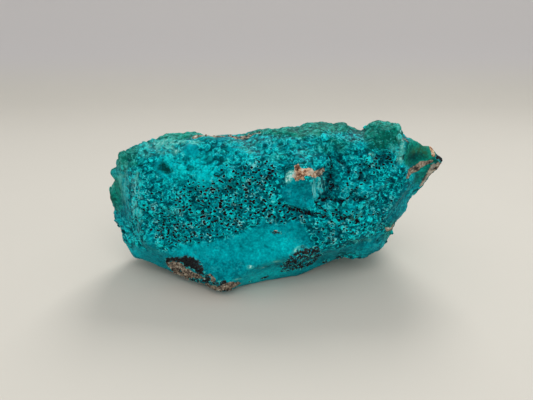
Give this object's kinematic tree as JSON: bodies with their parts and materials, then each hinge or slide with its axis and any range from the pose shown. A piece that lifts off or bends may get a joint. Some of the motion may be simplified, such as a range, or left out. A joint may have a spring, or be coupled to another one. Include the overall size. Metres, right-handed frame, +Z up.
{
  "type": "chrysocolla specimen",
  "caption": "Elongated block of blue-green chrysocolla with a botryoidal crust, a tapering tip, tan and dark matrix patches, and a small flat break to rest on.",
  "frame": {"origin": "on the resting plane, under the middle of the specimen's outer box", "axes": "+X along the length towards the tapering tip, +Y towards the back, +Z up; the botryoidal face looks towards -Y"},
  "size_m": [0.0884, 0.0417, 0.0419],
  "materials": {
    "chrysocolla_crust": "rough botryoidal crust, mostly matt with waxy domes"
  },
  "bodies": {
    "root": {"chrysocolla_specimen": "chrysocolla_crust"}
  },
  "joints": []
}
